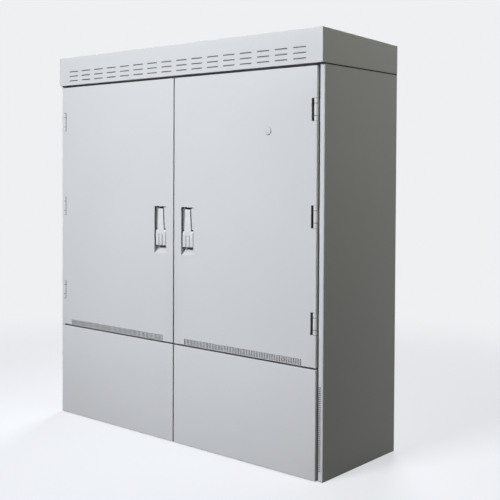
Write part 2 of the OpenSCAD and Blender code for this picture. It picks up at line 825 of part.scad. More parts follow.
function pinion_outline() =
    let (base_r = pitch_r * cos(pressure), tip_r = pitch_r + addendum, root_r = pitch_r - dedendum, n = 5)
    let (rs = [for (i = [0:n]) base_r + 0.001 + (tip_r - base_r) * i / n])
    [for (k = [0:gear_teeth - 1]) let (mid = k * 360 / gear_teeth) each concat(
        [root_r * [cos(mid - tooth_half(rs[0])), sin(mid - tooth_half(rs[0]))]],
        [for (r = rs) r * [cos(mid - tooth_half(r)), sin(mid - tooth_half(r))]],
        [for (i = [n:-1:0]) rs[i] * [cos(mid + tooth_half(rs[i])), sin(mid + tooth_half(rs[i]))]],
        [root_r * [cos(mid + tooth_half(rs[0])), sin(mid + tooth_half(rs[0]))]])];

module pinion(s) {
    color(zinc) on_side(s) along_x(rod_x - rod_w / 2, rod_x + rod_w / 2)
        translate([pivot_y, pivot_z]) difference() {
            polygon(pinion_outline());
            circle(shaft_r);
        }
}

module lock_case(s) {
    y0 = door_y + sheet_t + seal_gap;
    y1 = door_y + case_deep;
    color(zinc) on_side(s) difference() {
        box([case_in, y0, pivot_z - case_h / 2], [dish_in, y1, pivot_z + case_h / 2]);
        box([case_in + case_t, y0 - cut, pivot_z - case_h / 2 - cut],
            [dish_in - case_t, y1 - case_t, pivot_z + case_h / 2 + cut]);
        translate([case_in - cut, pivot_y, pivot_z]) rotate([0, 90, 0])
            cylinder(r = shaft_r + run_gap, h = case_w + 2 * cut);
    }
}

// Teeth of a rack on the line y = 0, with a gap at z = 0.
// They point in -Y where dir is +1, and in +Y where it is -1
module rack_teeth(dir, above, below) {
    pitch = PI * gear_module;
    tip = pitch / 4 - backlash / 4 - addendum * tan(pressure);
    root = pitch / 4 - backlash / 4 + dedendum * tan(pressure);
    seat = dedendum + backlash;
    for (i = [-below:above - 1])
        translate([0, (i + 0.5) * pitch])
            polygon([[dir * seat, -root], [dir * dedendum, -root], [-dir * addendum, -tip],
                     [-dir * addendum, tip], [dir * dedendum, root], [dir * seat, root]]);
}

// A rod, flat in the YZ plane: its rack, then a crank, then the long run behind the frame.
// dir is +1 for the rod that runs up from the lock
module rod(s, dir, rack_y, rack_t, far_z) {
    long_teeth = 5;
    short_teeth = 3;
    rack_end = pivot_z - dir * (short_teeth - 0.7) * PI * gear_module;
    bend_z = pivot_z + dir * (case_h / 2 + rod_travel + rod_clear);
    run_z = bend_z + dir * crank;
    y0 = rack_y;
    y1 = rack_y + rack_t;
    outline = [
        [y0, rack_end], [y0, bend_z], [rod_y, run_z], [rod_y, far_z],
        [rod_y + rod_t, far_z], [rod_y + rod_t, run_z], [y1, bend_z], [y1, rack_end]
    ];
    color(zinc) on_side(s) along_x(rod_x - rod_w / 2, rod_x + rod_w / 2) {
        polygon(outline);
        translate([pivot_y + dir * pitch_r, pivot_z])
            rack_teeth(dir, dir > 0 ? long_teeth : short_teeth - 1, dir > 0 ? short_teeth - 1 : long_teeth);
    }
}

module upper_rod(s) { rod(s, 1, pivot_y + pitch_r + dedendum, rod_t, top_seal_z - rod_tip_gap); }

module lower_rod(s) {
    rack_t = pivot_deep - pitch_r - dedendum - sheet_t - seal_gap;
    rod(s, -1, door_y + sheet_t + seal_gap, rack_t, rail_top_z + rod_tip_gap);
}

module rod_guides(s) {
    half = rod_w / 2 + rod_gap + guide_wall;
    y0 = door_y + door_depth;
    low_z = door_bottom_z + bottom_lip - guide_h - guide_wall;
    top_z = door_top_z - top_lip + guide_wall;
    color(rubber) on_side(s) for (z = [low_z, top_z]) difference() {
        box([rod_x - half, y0, z], [rod_x + half, rod_y + rod_t + rod_gap + guide_wall, z + guide_h]);
        box([rod_x - rod_w / 2 - rod_gap, rod_y - rod_gap, z - cut],
            [rod_x + rod_w / 2 + rod_gap, rod_y + rod_t + rod_gap, z + guide_h + cut]);
    }
}

// Inside

module mounting_rail(s) {
    r = rail_w / 2;
    lip = rail_w / 4;
    in = -rail_depth;
    path = [[in, lip - r], [in, -r], [0, -r], [0, r], [in, r], [in, r - lip]];
    color(zinc) on_side(s) along_z(floor_z, deck_z) translate([wall_in, rail_w])
        polygon(folded(path, sheet_t, bend_r));
}

module mounting_plate() {
    y0 = rear_y - sheet_t - plate_off;
    mid_z = (floor_z + deck_z) / 2;
    y1 = rear_y - sheet_t;
    w = plate_w / 2;
    path = [[-w, y1], [-w, y0], [w, y0], [w, y1]];
    color(zinc) along_z(mid_z - plate_h / 2, mid_z + plate_h / 2) polygon(folded(path, sheet_t, bend_r));
}

module earth_bar() {
    holes = 8;
    hole_r = earth_h * 0.18;
    foot_r = earth_h * 0.44;
    mid_z = floor_z / 2;
    y0 = rear_y - sheet_t - earth_off;
    step = (earth_l - 3 * earth_h) / (holes - 1);
    color(copper) difference() {
        box([-earth_l / 2, y0 - earth_t, mid_z - earth_h / 2], [earth_l / 2, y0, mid_z + earth_h / 2]);
        for (i = [0:holes - 1])
            translate([(i - (holes - 1) / 2) * step, y0 - earth_t - cut, mid_z]) rotate([-90, 0, 0])
                cylinder(r = hole_r, h = earth_t + 2 * cut);
    }
    color(rubber) for (s = [-1, 1])
        translate([s * (earth_l / 2 - foot_r), y0, mid_z]) rotate([-90, 0, 0])
            cylinder(r = foot_r, h = earth_off);
}

module cable_clamp_rail() {
    r = clamp_w / 2;
    lip = clamp_w * 0.27;
    color(zinc) along_x(-wall_in, wall_in) translate([clamp_w * 2, floor_z - clamp_drop])
        polygon(folded([[-r, lip - r], [-r, -r], [r, -r], [r, r], [-r, r], [-r, r - lip]], sheet_t, bend_r));
}

base_frame();
side_panel(-1);  // left_side_panel
side_panel(1);  // right_side_panel
rear_panel();
rear_screws();
floor_plate();
cable_grommets();
roof_deck();
roof_vent_collars();
roof_hood();
hood_seals();
top_rail();
middle_rail();
centre_post();
base_post();
base_panel(-1);  // left_base_panel
base_panel(1);  // right_base_panel
door(-1);  // left_door
door(1);  // right_door
door_gasket(-1);  // left_door_gasket
door_gasket(1);  // right_door_gasket
door_stiffeners(-1);  // left_door_stiffeners
door_stiffeners(1);  // right_door_stiffeners
hinge_frame_leaves(-1);  // left_hinge_frame_leaves
hinge_frame_leaves(1);  // right_hinge_frame_leaves
hinge_door_leaves(-1);  // left_hinge_door_leaves
hinge_door_leaves(1);  // right_hinge_door_leaves
hinge_pins(-1);  // left_hinge_pins
hinge_pins(1);  // right_hinge_pins
handle_dish(-1);  // left_handle_dish
handle_dish(1);  // right_handle_dish
lever(-1);  // left_lever
lever(1);  // right_lever
lever_shaft(-1);  // left_lever_shaft
lever_shaft(1);  // right_lever_shaft
pinion(-1);  // left_pinion
pinion(1);  // right_pinion
lock_case(-1);  // left_lock_case
lock_case(1);  // right_lock_case
upper_rod(-1);  // left_upper_rod
upper_rod(1);  // right_upper_rod
lower_rod(-1);  // left_lower_rod
lower_rod(1);  // right_lower_rod
rod_guides(-1);  // left_rod_guides
rod_guides(1);  // right_rod_guides
mounting_rail(-1);  // left_mounting_rail
mounting_rail(1);  // right_mounting_rail
mounting_plate();
earth_bar();
cable_clamp_rail();
door_plug();
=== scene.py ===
"""Finish, light and camera for the roadside utility cabinet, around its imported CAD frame."""

import json
import math

import bpy
from mathutils import Matrix, Vector


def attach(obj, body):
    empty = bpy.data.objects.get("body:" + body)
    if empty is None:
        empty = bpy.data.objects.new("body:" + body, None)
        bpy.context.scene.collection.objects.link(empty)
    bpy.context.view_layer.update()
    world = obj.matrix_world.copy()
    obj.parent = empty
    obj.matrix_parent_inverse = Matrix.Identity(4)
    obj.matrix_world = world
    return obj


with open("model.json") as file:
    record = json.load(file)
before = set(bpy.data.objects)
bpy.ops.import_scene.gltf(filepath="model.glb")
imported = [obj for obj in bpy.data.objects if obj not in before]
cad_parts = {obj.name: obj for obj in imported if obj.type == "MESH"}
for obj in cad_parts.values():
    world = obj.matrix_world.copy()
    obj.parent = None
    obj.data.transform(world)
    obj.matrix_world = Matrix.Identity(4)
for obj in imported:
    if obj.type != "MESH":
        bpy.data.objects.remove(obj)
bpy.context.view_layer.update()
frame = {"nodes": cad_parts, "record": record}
scene = bpy.context.scene
scene.view_settings.view_transform = "Standard"
MM = 0.001
SIDES = (("left", -1), ("right", 1))

# Camera: the photograph's lens and standpoint, from a fit of the cabinet's corners
PHOTO_SIDE = 500
FOCAL_PX = 892.2
CENTRE_PX = (239.29, 191.95)
SENSOR = 36.0
CAMERA_AT = Vector((2.5676, -2.8386, 1.1111))
CAMERA_YAW = math.radians(40.60)
CAMERA_PITCH = math.radians(-1.30)
CAMERA_ROLL = math.radians(0.26)

# Light: a soft box in front, one overhead, weak lamps on the right and behind, and an even sky
KEY_AT = Vector((-0.6, -5.2, 4.0))
KEY_AIM = Vector((0.1, -0.25, 0.70))
KEY_SIZE = (2.0, 2.0)
KEY_WATTS = 67.5
KEY_SPREAD = math.radians(70)
KEY_TINT = (0.932, 0.952, 1.0)
TOP_AT = Vector((-0.2, -1.5, 4.4))
TOP_AIM = Vector((0.0, -0.35, 0.6))
TOP_SIZE = (2.4, 1.4)
TOP_WATTS = 10
FILL_AT = Vector((2.9, -0.2, 3.4))
FILL_AIM = Vector((0.74, 0.0, 1.35))
FILL_SIZE = (1.6, 1.6)
FILL_WATTS = 5.0
FILL_SPREAD = math.radians(80)
FILL_TINT = (1.0, 0.99, 0.86)
BACK_AT = Vector((-2.4, 4.6, 3.6))
BACK_AIM = Vector((-0.1, 0.25, 0.8))
BACK_SIZE = (2.4, 2.0)
BACK_WATTS = 38
BACK_SPREAD = math.radians(60)
SKY_LIGHT = (0.016, 0.016, 0.015)
BACKDROP = (0.86, 0.87, 0.89)
FLOOR_RADIUS = 60.0
FLOOR_CORNERS = 96
FLOOR_FADE = (1.0, 3.4)
FLOOR_LIT = (0.30, 0.305, 0.31)
FLOOR_GLOW = (0.58, 0.59, 0.61)
FLOOR_BOUNCE = (0.035, 0.035, 0.034)

# Tints of the paint and of the castings and mouldings
PAINT_TINT = (0.99, 1.0, 1.0)
CAST_TINT = (0.985, 1.0, 0.995)

# Painted shade in gaps and corners: rays for each look, and the share of open air from full shade to none
GAP_SHADE_RAYS = 8
GAP_SHADE_RANGE = (0.30, 0.86)
GROOVE_RANGE = (0.62, 0.98)

# Folds and edges of the CAD nodes: gap that is closed, angles from which edges stay sharp or are bevelled
WELD_GAP = 0.004 * MM
SHARP_FROM = math.radians(32)
BEVEL_FROM = math.radians(50)
BEVEL_STEPS = 2

# Faces of a block, by the numbers of its corners
BOX_FACES = ((0, 1, 3, 2), (4, 6, 7, 5), (0, 4, 5, 1), (2, 3, 7, 6), (0, 2, 6, 4), (1, 5, 7, 3))

# Fly screen behind the slots of the hood
HOOD_INSIDE = -0.253
SCREEN_HALF = 0.70
SCREEN_LOW, SCREEN_TOP = 1.507, 1.575
SCREEN_GAP = 0.4 * MM
SCREEN_THICK = 0.5 * MM
SCREEN_PITCH = 1.6 * MM

# Filter mats behind the vents of the doors and of the front strips
DOOR_MAT = ((0.058, -0.2515, 0.4120), (0.658, -0.2485, 0.4390))
STRIP_MAT = ((0.7182, -0.2385, 0.0340), (0.7348, -0.2355, 0.3520))

# Bushes between the knuckles of the hinges
HINGE_AT = (0.705, -0.2448)
HINGE_ZS = (0.568, 0.951, 1.334)
KNUCKLE_R = 8.5 * MM
BUSH_R = 8.75 * MM
BUSH_Z = (21.3 * MM, 22.8 * MM)
BUSH_ARC = (math.radians(150), math.radians(345))
BUSH_STEPS = 16

# Dark strips in the cut-outs of the hinges, painted shade: on the front edge of the door's leaf, and on its
# side
HINGE_SHADE_STRIPS = (((0.6901, -0.2514), (0.6932, -0.2510)), ((0.6929, -0.2510), (0.6932, -0.2400)))
HINGE_SHADE_HALF = 39.5 * MM

# Around each lever: a cheek on the ledge right of its neck, and a dark pad of painted shade on the ledge
# left of it
DOOR_FACE = -0.2538
LEVER_X = 77.5 * MM
CHEEK_DEEP = 5.6 * MM
CHEEK_BEVEL = 0.8 * MM
SHADE_PAD_DEEP = 10.4 * MM
LEDGE_DEEP = 10.9 * MM
LEDGE_LOW, LEDGE_TOP = 0.876, 0.966
LEDGE_INSIDE = (19.6 * MM, 14.6 * MM)
LEDGE_OUTSIDE = 33.9 * MM

# Grooves in the grip of each lever, with dark strips of painted shade at their bottoms
GROOVE_OFF = 9.6 * MM
GROOVE_HALF = 1.2 * MM
GROOVE_DEPTHS = (2.3 * MM, 3.5 * MM)
GROOVE_Z = (0.808, 0.863)

# Dark ring under the plug of the right door, off its middle: painted shade on the plug's lower right side
PLUG_AT = (0.490, 1.263)
PLUG_R = 14.05 * MM
SHADE_RING_R = 14.7 * MM
SHADE_RING_OFF = (1.7 * MM, -1.2 * MM)
SHADE_RING_T = 0.2 * MM
SHADE_RING_LEAST = 0.1 * MM
SHADE_RING_STEPS = 48


def add_camera():
    """A camera at the photograph's standpoint, with its frame shifted as the photograph's is."""
    data = bpy.data.cameras.new("camera")
    data.sensor_width = SENSOR
    data.lens = FOCAL_PX / PHOTO_SIDE * SENSOR
    data.shift_x = 0.5 - CENTRE_PX[0] / PHOTO_SIDE
    data.shift_y = CENTRE_PX[1] / PHOTO_SIDE - 0.5
    level = math.cos(CAMERA_PITCH)
    forward = Vector((-math.sin(CAMERA_YAW) * level, math.cos(CAMERA_YAW) * level, math.sin(CAMERA_PITCH)))
    right = Vector((math.cos(CAMERA_YAW), math.sin(CAMERA_YAW), 0.0))
    up = right.cross(forward)
    c, s = math.cos(CAMERA_ROLL), math.sin(CAMERA_ROLL)
    axes = Matrix((c * right + s * up, c * up - s * right, -forward)).transposed()
    camera = bpy.data.objects.new("camera", data)
    camera.matrix_world = Matrix.Translation(CAMERA_AT) @ axes.to_4x4()
    scene.collection.objects.link(camera)
    scene.camera = camera


def add_lamp(name, at, aim, size, watts, colour, spread=math.pi):
    """A rectangular soft box at one place, aimed at another, with its light held to an angle."""
    data = bpy.data.lights.new(name, "AREA")
    data.shape = "RECTANGLE"
    data.size, data.size_y = size
    data.energy = watts
    data.spread = spread
    data.color = colour
    lamp = bpy.data.objects.new(name, data)
    lamp.location = at
    lamp.rotation_euler = (aim - at).to_track_quat("-Z", "Y").to_euler()
    scene.collection.objects.link(lamp)


class Nodes:
    """A short way to write a node tree."""

    def __init__(self, tree):
        self.tree = tree
        tree.nodes.clear()

    def add(self, kind, **settings):
        node = self.tree.nodes.new(kind)
        for key, value in settings.items():
            setattr(node, key, value)
        return node

    def link(self, source, target):
        self.tree.links.new(source, target)

    def put(self, value, socket):
        """Links a socket, or sets a plain value."""
        if isinstance(value, bpy.types.NodeSocket):
            self.link(value, socket)
        else:
            socket.default_value = value

    def math(self, operation, a, b=0.0):
        node = self.add("ShaderNodeMath", operation=operation)
        self.put(a, node.inputs[0])
        self.put(b, node.inputs[1])
        return node.outputs[0]

    def span(self, value, low, high, to_low, to_high, smooth=False):
        """The value, mapped from one range to another and held inside it."""
        node = self.add("ShaderNodeMapRange", interpolation_type="SMOOTHSTEP" if smooth else "LINEAR")
        for socket, item in zip(node.inputs, (value, low, high, to_low, to_high)):
            self.put(item, socket)
        return node.outputs[0]

    def mix(self, factor, a, b):
        node = self.add("ShaderNodeMix", data_type="RGBA")
        self.put(factor, node.inputs["Factor"])
        self.put(a, node.inputs[6])
        self.put(b, node.inputs[7])
        return node.outputs[2]

    def place(self, stretch=(1.0, 1.0, 1.0)):
        """The part's own coordinates in metres, stretched along an axis where asked."""
        where = self.add("ShaderNodeTexCoord").outputs["Object"]
        if stretch == (1.0, 1.0, 1.0):
            return where
        node = self.add("ShaderNodeMapping")
        node.inputs["Scale"].default_value = stretch
        self.link(where, node.inputs["Vector"])
        return node.outputs["Vector"]

    def noise(self, where, size, detail=2.0, roughness=0.5):
        """Noise whose grains are about this size, in metres."""
        node = self.add("ShaderNodeTexNoise")
        self.link(where, node.inputs["Vector"])
        node.inputs["Scale"].default_value = 1.0 / size
        node.inputs["Detail"].default_value = detail
        node.inputs["Roughness"].default_value = roughness
        return node.outputs["Fac"]

    def cells(self, where, size, output="Distance"):
        """A cell pattern whose cells are about this size, in metres."""
        node = self.add("ShaderNodeTexVoronoi")
        self.link(where, node.inputs["Vector"])
        node.inputs["Scale"].default_value = 1.0 / size
        return node.outputs[output]

    def painted_gap_shade(self, colour, reach, low, air=GAP_SHADE_RANGE):
        """A colour with painted shade, darker in gaps and corners within this reach in metres."""
        open_air = self.add("ShaderNodeAmbientOcclusion", samples=GAP_SHADE_RAYS)
        open_air.inputs["Distance"].default_value = reach
        unshaded_share = self.span(open_air.outputs["AO"], *air, low, 1.0)
        node = self.add("ShaderNodeMix", data_type="RGBA", blend_type="MULTIPLY")
        node.inputs["Factor"].default_value = 1.0
        self.link(colour, node.inputs[6])
        self.link(unshaded_share, node.inputs[7])
        return node.outputs[2]

    def bump(self, height, depth, strength=1.0, under=None):
        """Bump of a height from 0 to 1 that is this deep, in metres, over another bump."""
        node = self.add("ShaderNodeBump")
        node.inputs["Strength"].default_value = strength
        node.inputs["Distance"].default_value = depth
        self.link(height, node.inputs["Height"])
        if under is not None:
            self.link(under, node.inputs["Normal"])
        return node.outputs["Normal"]


def new_material(name):
    """A material with an empty surface shader, its nodes and the shader."""
    material = bpy.data.materials.new(name)
    material.use_nodes = True
    nodes = Nodes(material.node_tree)
    shader = nodes.add("ShaderNodeBsdfPrincipled")
    output = nodes.add("ShaderNodeOutputMaterial")
    nodes.link(shader.outputs["BSDF"], output.inputs["Surface"])
    return material, nodes, shader


def grey(value, tint=(1.0, 1.0, 1.0)):
    return tuple(value * t for t in tint) + (1.0,)


def tones(nodes, factor, colour, spread):
    """A colour that varies about its value by a share, along a factor from 0 to 1."""
    low = tuple(c * (1 - spread) for c in colour[:3]) + (1.0,)
    high = tuple(min(1.0, c * (1 + spread)) for c in colour[:3]) + (1.0,)
    return nodes.mix(factor, low, high)


def powder_paint(name, colour, grain, depth, rough, gap_shade):
    """Fine textured powder paint: small grains, a faint orange peel, a slow drift in tone, painted shade in
    gaps.
    """
    material, nodes, shader = new_material(name)
    where = nodes.place()
    fine = nodes.noise(where, grain, detail=3.0)
    peel = nodes.noise(where, grain * 6, detail=1.0)
    drift = nodes.noise(where, 0.45, detail=2.0)
    speck = nodes.noise(where, grain * 2.5, detail=1.0)
    tone = nodes.math("ADD", nodes.math("MULTIPLY", drift, 0.6), nodes.math("MULTIPLY", speck, 0.4))
    paint = tones(nodes, nodes.span(tone, 0.3, 0.7, 0.0, 1.0), colour, 0.025)
    nodes.link(nodes.painted_gap_shade(paint, *gap_shade), shader.inputs["Base Color"])
    nodes.link(nodes.span(fine, 0.3, 0.7, rough - 0.07, rough + 0.07), shader.inputs["Roughness"])
    nodes.link(nodes.bump(fine, depth, 0.5, nodes.bump(peel, depth * 3, 0.35)), shader.inputs["Normal"])
    shader.inputs["Specular IOR Level"].default_value = 0.32
    return material


def galvanised(name, gap_shade):
    """Galvanised sheet: crystals of zinc, each with its tone and gloss, a fine bloom, painted shade in gaps.
    """
    material, nodes, shader = new_material(name)
    where = nodes.place()
    crystal = nodes.add("ShaderNodeSeparateColor")
    nodes.link(nodes.cells(where, 0.013, output="Color"), crystal.inputs["Color"])
    bloom = nodes.noise(where, 0.05, detail=4.0)
    own = nodes.math("MULTIPLY", crystal.outputs[0], 0.55)
    tone = nodes.math("ADD", own, nodes.math("MULTIPLY", bloom, 0.45))
    sheet = tones(nodes, tone, grey(0.58, (0.98, 1.0, 1.02)), 0.18)
    nodes.link(nodes.painted_gap_shade(sheet, *gap_shade), shader.inputs["Base Color"])
    nodes.link(nodes.span(crystal.outputs[1], 0.0, 1.0, 0.36, 0.56), shader.inputs["Roughness"])
    nodes.link(nodes.bump(nodes.noise(where, 0.002), 0.02 * MM, 0.4), shader.inputs["Normal"])
    shader.inputs["Metallic"].default_value = 0.85
    return material


def plated_steel(name):
    """Zinc plated steel, drawn along its length, with a faint passivation tint."""
    material, nodes, shader = new_material(name)
    drawn = nodes.noise(nodes.place((1.0, 1.0, 0.03)), 0.0006, detail=3.0)
    tint = nodes.noise(nodes.place(), 0.03, detail=2.0)
    warm, cold = grey(0.62, (1.03, 1.0, 0.93)), grey(0.64, (0.96, 0.99, 1.04))
    nodes.link(nodes.mix(nodes.span(tint, 0.35, 0.65, 0.0, 1.0), warm, cold), shader.inputs["Base Color"])
    nodes.link(nodes.span(drawn, 0.3, 0.7, 0.26, 0.42), shader.inputs["Roughness"])
    nodes.link(nodes.bump(drawn, 0.01 * MM, 0.5), shader.inputs["Normal"])
    shader.inputs["Metallic"].default_value = 1.0
    return material


def moulded(name, colour, grain, rough, gap_shade, spread=0.05):
    """A moulding or a casting: a fine spark-eroded grain, small changes of tone and gloss, painted shade in
    gaps.
    """
    material, nodes, shader = new_material(name)
    where = nodes.place()
    fine = nodes.cells(where, grain)
    cloud = nodes.noise(where, 0.02, detail=3.0)
    nodes.link(nodes.painted_gap_shade(tones(nodes, cloud, colour, spread), *gap_shade), shader.inputs["Base Color"])
    nodes.link(nodes.span(cloud, 0.3, 0.7, rough - 0.06, rough + 0.06), shader.inputs["Roughness"])
    nodes.link(nodes.bump(fine, grain * 0.06, 0.4), shader.inputs["Normal"])
    return material


def foam_rubber(name):
    """Dark foam rubber: a skin with fine pores."""
    material, nodes, shader = new_material(name)
    where = nodes.place()
    pores = nodes.cells(where, 0.0016)
    cloud = nodes.noise(where, 0.012, detail=3.0)
    nodes.link(tones(nodes, cloud, grey(0.028), 0.3), shader.inputs["Base Color"])
    nodes.link(nodes.span(cloud, 0.3, 0.7, 0.72, 0.9), shader.inputs["Roughness"])
    nodes.link(nodes.bump(pores, 0.25 * MM, 0.6), shader.inputs["Normal"])
    return material


def bare_copper(name):
    """A rolled copper bar with a light brown bloom."""
    material, nodes, shader = new_material(name)
    rolled = nodes.noise(nodes.place((0.04, 1.0, 1.0)), 0.0008, detail=3.0)
    bloom = nodes.noise(nodes.place(), 0.018, detail=4.0)
    bright, brown = (0.78, 0.42, 0.25, 1.0), (0.42, 0.21, 0.12, 1.0)
    nodes.link(nodes.mix(nodes.span(bloom, 0.42, 0.7, 0.0, 1.0), bright, brown), shader.inputs["Base Color"])
    nodes.link(nodes.span(bloom, 0.3, 0.7, 0.28, 0.5), shader.inputs["Roughness"])
    nodes.link(nodes.bump(rolled, 0.015 * MM, 0.5), shader.inputs["Normal"])
    shader.inputs["Metallic"].default_value = 1.0
    return material


def rays_that_see(nodes):
    """One for the rays that show the floor and the sky, and none for those that only carry their light."""
    path = nodes.add("ShaderNodeLightPath")
    direct = nodes.math("MAXIMUM", path.outputs["Is Camera Ray"], path.outputs["Is Transmission Ray"])
    return nodes.math("MAXIMUM", direct, path.outputs["Is Glossy Ray"])


def floor_material():
    """A pale matt floor that keeps the shadow, fades into the background and gives back little light."""
    material, nodes, shader = new_material("floor")
    where = nodes.place()
    tone = nodes.noise(where, 0.7, detail=3.0)
    seen = rays_that_see(nodes)
    pale = tones(nodes, tone, FLOOR_LIT, 0.01)
    nodes.link(nodes.mix(seen, FLOOR_BOUNCE + (1.0,), pale), shader.inputs["Base Color"])
    nodes.link(nodes.mix(seen, (0.0, 0.0, 0.0, 1.0), FLOOR_GLOW + (1.0,)), shader.inputs["Emission Color"])
    shader.inputs["Emission Strength"].default_value = 1.0
    shader.inputs["Roughness"].default_value = 0.9
    shader.inputs["Specular IOR Level"].default_value = 0.1
    far = nodes.add("ShaderNodeVectorMath", operation="LENGTH")
    nodes.link(where, far.inputs[0])
    fade = nodes.span(far.outputs["Value"], *FLOOR_FADE, 0.0, 1.0, smooth=True)
    glow = nodes.add("ShaderNodeEmission")
    glow.inputs["Color"].default_value = BACKDROP + (1.0,)
    blend = nodes.add("ShaderNodeMixShader")
    nodes.link(nodes.math("MULTIPLY", fade, seen), blend.inputs[0])
    nodes.link(shader.outputs["BSDF"], blend.inputs[1])
    nodes.link(glow.outputs["Emission"], blend.inputs[2])
    output = next(n for n in nodes.tree.nodes if n.type == "OUTPUT_MATERIAL")
    nodes.link(blend.outputs["Shader"], output.inputs["Surface"])
    return material


def add_floor():
    """A round floor at the ground, wide enough to reach the horizon."""
    mesh = bpy.data.meshes.new("floor")
    ring = [(FLOOR_RADIUS * math.cos(a), FLOOR_RADIUS * math.sin(a), 0.0)
            for a in (2 * math.pi * i / FLOOR_CORNERS for i in range(FLOOR_CORNERS))]
    mesh.from_pydata(ring, [], [range(FLOOR_CORNERS)])
    floor = bpy.data.objects.new("floor", mesh)
    mesh.materials.append(floor_material())
    scene.collection.objects.link(floor)


def add_sky():
    """An even sky: pale where it is seen, and weak as a light."""
    world = bpy.data.worlds.new("sky")
    scene.world = world
    world.use_nodes = True
    nodes = Nodes(world.node_tree)
    back = nodes.add("ShaderNodeBackground")
    nodes.link(nodes.mix(rays_that_see(nodes), SKY_LIGHT + (1.0,), BACKDROP + (1.0,)), back.inputs["Color"])
    output = nodes.add("ShaderNodeOutputWorld")
    nodes.link(back.outputs["Background"], output.inputs["Surface"])


def fold_smoother():
    """A modifier tree that joins the CAD faces and shades round folds as round."""
    tree = bpy.data.node_groups.new("smooth_folds", "GeometryNodeTree")
    tree.interface.new_socket("Geometry", in_out="INPUT", socket_type="NodeSocketGeometry")
    tree.interface.new_socket("Geometry", in_out="OUTPUT", socket_type="NodeSocketGeometry")
    nodes = Nodes(tree)
    source = nodes.add("NodeGroupInput")
    merge = nodes.add("GeometryNodeMergeByDistance")
    merge.inputs["Distance"].default_value = WELD_GAP
    plain = nodes.add("GeometryNodeRemoveAttribute")
    plain.inputs["Name"].default_value = "custom_normal"
    smooth = nodes.add("GeometryNodeSetShadeSmooth", domain="FACE")
    angle = nodes.add("GeometryNodeInputMeshEdgeAngle")
    sharp = nodes.add("FunctionNodeCompare", data_type="FLOAT", operation="GREATER_THAN")
    sharp.inputs["B"].default_value = SHARP_FROM
    crease = nodes.add("GeometryNodeSetShadeSmooth", domain="EDGE")
    crease.inputs["Shade Smooth"].default_value = False
    output = nodes.add("NodeGroupOutput")
    nodes.link(source.outputs[0], merge.inputs["Geometry"])
    nodes.link(merge.outputs["Geometry"], plain.inputs["Geometry"])
    nodes.link(plain.outputs["Geometry"], smooth.inputs["Geometry"])
    nodes.link(smooth.outputs["Geometry"], crease.inputs["Geometry"])
    nodes.link(angle.outputs["Unsigned Angle"], sharp.inputs["A"])
    nodes.link(sharp.outputs["Result"], crease.inputs["Selection"])
    nodes.link(crease.outputs["Geometry"], output.inputs[0])
    return tree


def soften(obj, tree, width):
    """Round folds and small bevels on the sharp edges of a CAD node."""
    join = obj.modifiers.new("smooth_folds", "NODES")
    join.node_group = tree
    if width:
        bevel = obj.modifiers.new("edges", "BEVEL")
        bevel.width = width
        bevel.segments = BEVEL_STEPS
        bevel.limit_method = "ANGLE"
        bevel.angle_limit = BEVEL_FROM
        bevel.harden_normals = True


def woven_wire(name):
    """Fine woven wire: two sets of round wires, a painted highlight on their crowns and painted shade in the
    meshes between them.
    """
    material, nodes, shader = new_material(name)
    split = nodes.add("ShaderNodeSeparateXYZ")
    nodes.link(nodes.place(), split.inputs["Vector"])
    turn = 2 * math.pi / SCREEN_PITCH
    wires = [nodes.math("ABSOLUTE", nodes.math("COSINE", nodes.math("MULTIPLY", split.outputs[k], turn / 2)))
             for k in ("X", "Z")]
    height = nodes.math("MAXIMUM", *wires)
    worn = nodes.noise(nodes.place(), 0.01, detail=3.0)
    crowns = nodes.span(height, 0.80, 0.98, 0.0, 1.0)
    crown_highlight = nodes.math("MULTIPLY", crowns, nodes.span(worn, 0.2, 0.8, 0.8, 1.0))
    # Painted highlight on the crowns of the wires, painted shade in the meshes between them
    nodes.link(nodes.mix(crown_highlight, grey(0.02), grey(0.24)), shader.inputs["Base Color"])
    nodes.link(nodes.span(worn, 0.3, 0.7, 0.40, 0.55), shader.inputs["Roughness"])
    nodes.link(nodes.bump(height, 0.25 * MM, 0.6), shader.inputs["Normal"])
    shader.inputs["Metallic"].default_value = 0.4
    return material


def felt(name, tone):
    """Grey filter felt: matted fibres with small changes of tone."""
    material, nodes, shader = new_material(name)
    fibres = nodes.noise(nodes.place((1.0, 1.0, 0.25)), 0.0009, detail=4.0, roughness=0.7)
    cloud = nodes.noise(nodes.place(), 0.015, detail=3.0)
    matted = nodes.math("MULTIPLY", fibres, cloud)
    nodes.link(tones(nodes, matted, grey(tone), 0.4), shader.inputs["Base Color"])
    nodes.link(nodes.span(fibres, 0.3, 0.7, 0.85, 0.98), shader.inputs["Roughness"])
    nodes.link(nodes.bump(fibres, 0.4 * MM, 0.7), shader.inputs["Normal"])
    return material


def add_boxes(name, blocks, material, body):
    """Plain blocks, each from its lowest to its highest corner, in metres, that ride on a body."""
    corners, faces = [], []
    for low, high in blocks:
        k = len(corners)
        corners += [(x, y, z) for x in (low[0], high[0])
                    for y in (low[1], high[1]) for z in (low[2], high[2])]
        faces += [tuple(k + i for i in face) for face in BOX_FACES]
    mesh = bpy.data.meshes.new(name)
    mesh.from_pydata(corners, [], faces)
    mesh.materials.append(material)
    obj = bpy.data.objects.new(name, mesh)
    scene.collection.objects.link(obj)
    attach(obj, body)


def add_prism(name, outline, front, back, material, body):
    """A block of one outline in x and z, in metres, between two depths, that rides on a body."""
    n = len(outline)
    points = [(x, y, z) for y in (front, back) for x, z in outline]
    walls = [(i, i + n, (i + 1) % n + n, (i + 1) % n) for i in range(n)]
    mesh = bpy.data.meshes.new(name)
    mesh.from_pydata(points, [], [range(n), range(2 * n - 1, n - 1, -1)] + walls)
    mesh.materials.append(material)
    obj = bpy.data.objects.new(name, mesh)
    scene.collection.objects.link(obj)
    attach(obj, body)
    return obj


def mirrored(low, high, sign):
    """A block's corners, or those of its mirror image in x where the sign is -1."""
    ends = sorted((sign * low[0], sign * high[0]))
    return (ends[0],) + tuple(low[1:]), (ends[1],) + tuple(high[1:])


